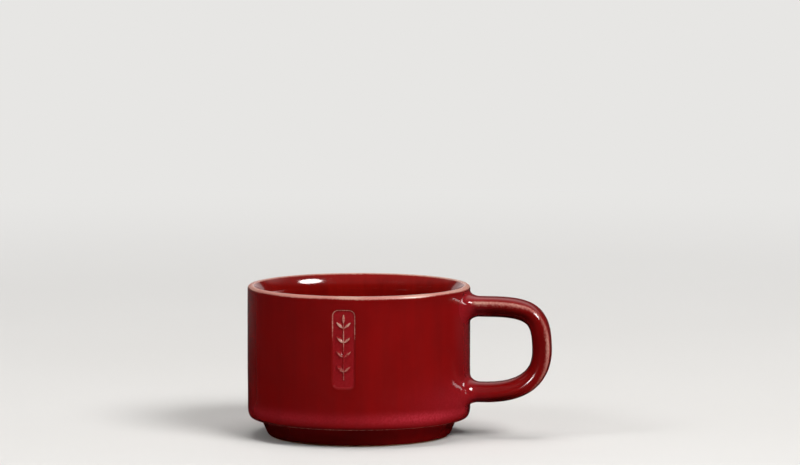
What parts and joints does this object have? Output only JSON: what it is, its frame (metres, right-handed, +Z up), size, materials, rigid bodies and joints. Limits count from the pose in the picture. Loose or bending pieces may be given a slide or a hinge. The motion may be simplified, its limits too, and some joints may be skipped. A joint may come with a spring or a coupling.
{
  "type": "mug",
  "caption": "Low straight-sided stoneware mug in glossy deep red glaze, on a stepped foot that nests in the rim of another mug, with a D-shaped strap handle.",
  "frame": {"origin": "on the table plane, under the middle of the mug's length from the back of the cup to the outside of the handle", "axes": "+X from the cup towards its handle, +Y across the mug, +Z up out of the cup's mouth"},
  "size_m": [0.1236, 0.09, 0.061],
  "materials": {
    "stoneware": "bare fired clay, slightly sandy",
    "outside_glaze": "glossy deep red glaze, breaking to tan on the edges",
    "liner_glaze": "glossy deep red glaze"
  },
  "bodies": {
    "root": {"cup_body": "stoneware", "handle": "stoneware", "upper_slip_joint": "outside_glaze", "lower_slip_joint": "outside_glaze", "outer_glaze": "outside_glaze", "handle_glaze": "outside_glaze", "base_glaze": "outside_glaze", "liner_glaze": "liner_glaze"}
  },
  "joints": []
}
